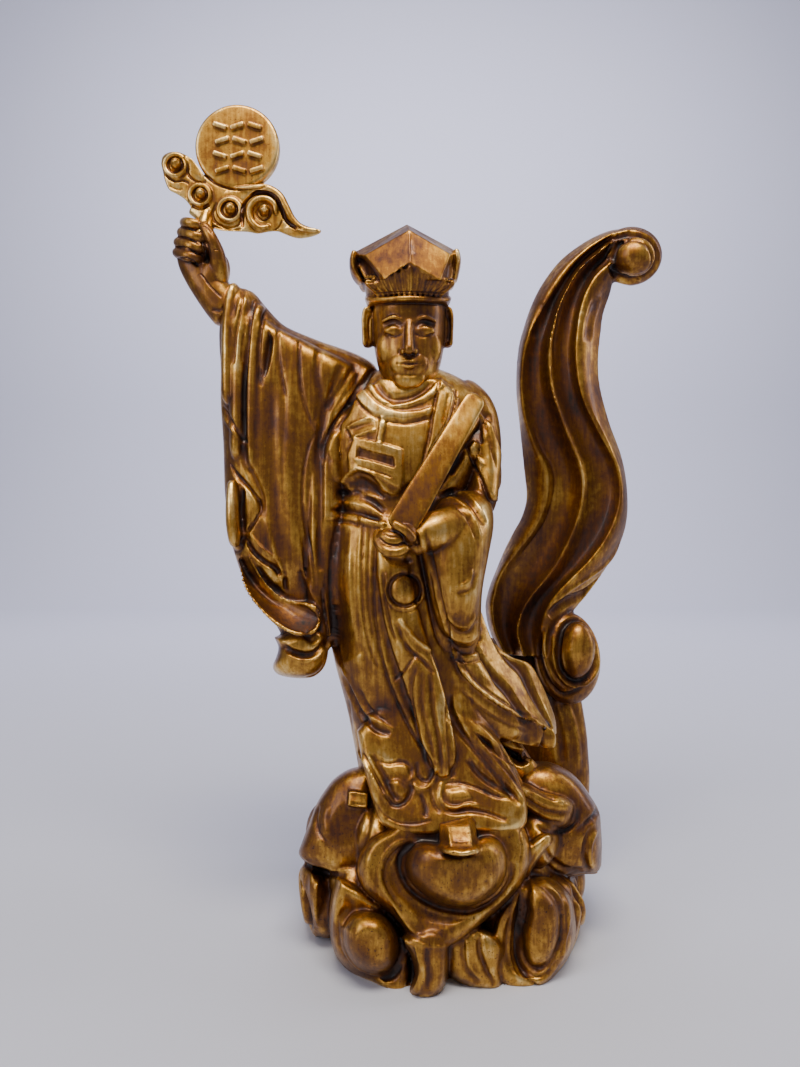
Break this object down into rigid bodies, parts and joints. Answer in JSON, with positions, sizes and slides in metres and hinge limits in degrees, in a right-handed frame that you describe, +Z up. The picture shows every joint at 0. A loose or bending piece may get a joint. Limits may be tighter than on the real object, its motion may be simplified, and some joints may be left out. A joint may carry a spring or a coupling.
{
  "type": "gilt wood heavenly official statue",
  "caption": "Carved gilt wood official in flowing robes on a bank of clouds, one fist raising a disc on a ruyi cloud, with a tall cloud plume behind.",
  "frame": {"origin": "middle of the cloud bank's flat underside", "axes": "+Z up, the figure faces -Y, the raised fist is towards -X"},
  "size_m": [0.3825, 0.2164, 0.5975],
  "materials": {
    "gilt": "aged gold leaf over red-brown lacquer on carved wood, rubbed on the high places"
  },
  "bodies": {
    "root": {"figure_on_clouds": "gilt", "cloud_plume": "gilt", "blessing_disc": "gilt"}
  },
  "joints": []
}
